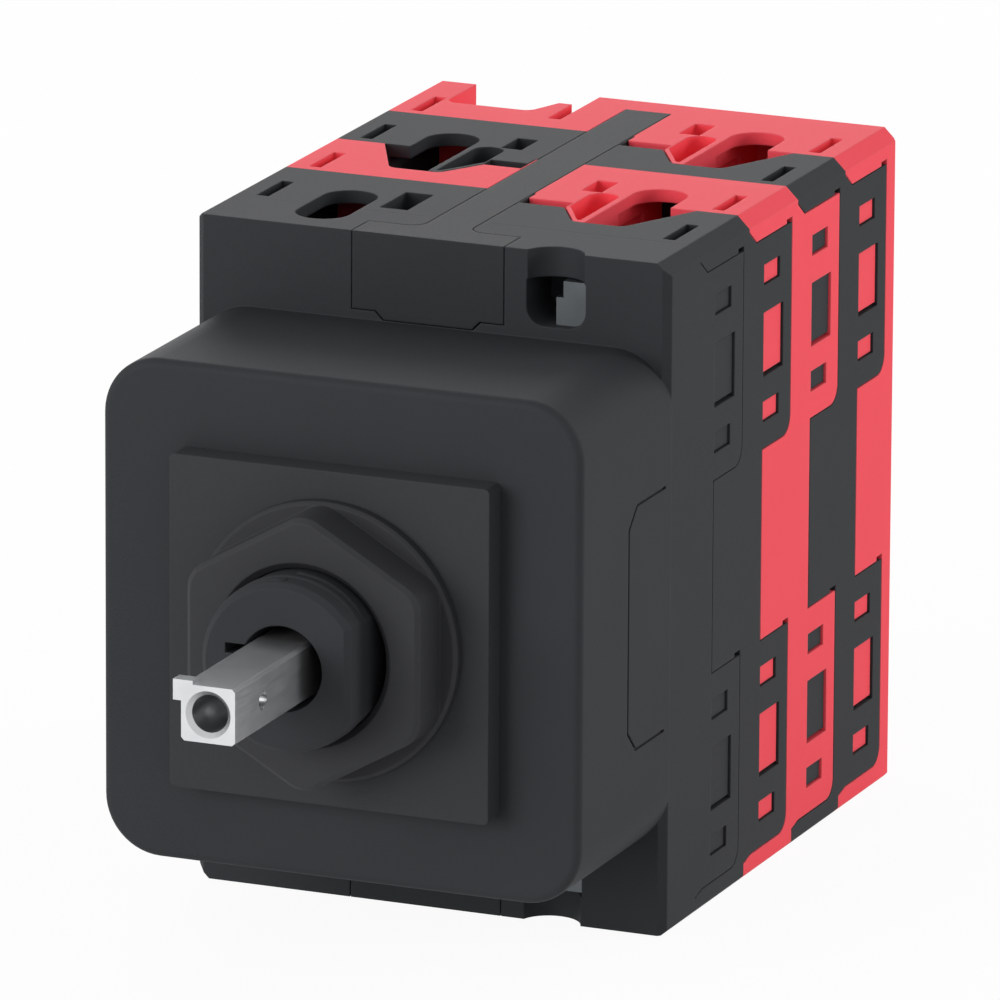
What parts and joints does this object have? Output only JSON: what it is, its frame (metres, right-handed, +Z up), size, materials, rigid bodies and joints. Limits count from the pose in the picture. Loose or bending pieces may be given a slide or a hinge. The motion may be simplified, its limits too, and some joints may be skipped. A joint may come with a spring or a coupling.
{
  "type": "dc disconnect switch",
  "caption": "Panel-mounted rotary dc disconnect switch: square shaft and nut in front of a square hood, with black and red contact decks snapped together behind it.",
  "frame": {"origin": "on the turning axis, in the plane of the hood's front face that the gasket lies on", "axes": "+Y back along the turning axis through the stack, +X to the right seen from the front, +Z up"},
  "size_m": [0.054, 0.1224, 0.073],
  "materials": {
    "black_housing": "moulded black polyamide, fine matt texture",
    "red_housing": "moulded light red polyamide, fine matt texture",
    "sealing_rubber": "black sealing rubber",
    "black_nut": "moulded black polyamide",
    "black_tie_bar": "moulded black polyamide, satin",
    "zinc_plated_steel": "bright zinc plate on drawn square steel",
    "spring_steel": "bare spring steel",
    "nickel_plated_steel": "nickel plated steel strip",
    "natural_acetal": "natural white acetal",
    "ivory_rotor": "ivory glass-filled moulding",
    "silvered_copper": "silver plated copper",
    "copper": "bare rolled copper"
  },
  "bodies": {
    "switch_body": {"drive_housing": "black_housing", "panel_gasket": "sealing_rubber", "mounting_nut": "black_nut", "bearing_plate": "black_housing", "detent_springs": "spring_steel", "plate_screws": "zinc_plated_steel", "top_tie_bar": "black_tie_bar", "bottom_tie_bar": "black_tie_bar", "accessory_clamps": "nickel_plated_steel", "contact_deck_1": "black_housing", "contact_deck_2": "red_housing", "contact_deck_3": "black_housing", "contact_deck_4": "red_housing", "fixed_contact_1_top": "copper", "fixed_contact_1_bottom": "copper", "fixed_contact_2_top": "copper", "fixed_contact_2_bottom": "copper", "fixed_contact_3_top": "copper", "fixed_contact_3_bottom": "copper", "fixed_contact_4_top": "copper", "fixed_contact_4_bottom": "copper", "clamp_spring_1_top": "spring_steel", "clamp_spring_1_bottom": "spring_steel", "clamp_spring_2_top": "spring_steel", "clamp_spring_2_bottom": "spring_steel", "clamp_spring_3_top": "spring_steel", "clamp_spring_3_bottom": "spring_steel", "clamp_spring_4_top": "spring_steel", "clamp_spring_4_bottom": "spring_steel"},
    "drive_shaft": {"operating_shaft": "zinc_plated_steel", "drive_hub": "black_nut"},
    "rotor_stack": {"snap_carrier": "natural_acetal", "snap_spring": "spring_steel", "rotor_1": "ivory_rotor", "rotor_2": "ivory_rotor", "rotor_3": "ivory_rotor", "rotor_4": "ivory_rotor", "moving_contact_1": "silvered_copper", "moving_contact_2": "silvered_copper", "moving_contact_3": "silvered_copper", "moving_contact_4": "silvered_copper"}
  },
  "joints": [
    {"name": "rotor_turn", "type": "hinge", "parent": "switch_body", "child": "rotor_stack", "pos_m": [0, 0.03, 0], "axis": [0, 1, 0], "range_deg": [0, 90], "deforming": ["detent_springs"]},
    {"name": "shaft_turn", "type": "hinge", "parent": "switch_body", "child": "drive_shaft", "pos_m": [0, 0, 0], "axis": [0, 1, 0], "range_deg": [0, 90]}
  ],
  "couplings": [
    {"joint": "shaft_turn", "follows": "rotor_turn", "ratio": 1}
  ]
}
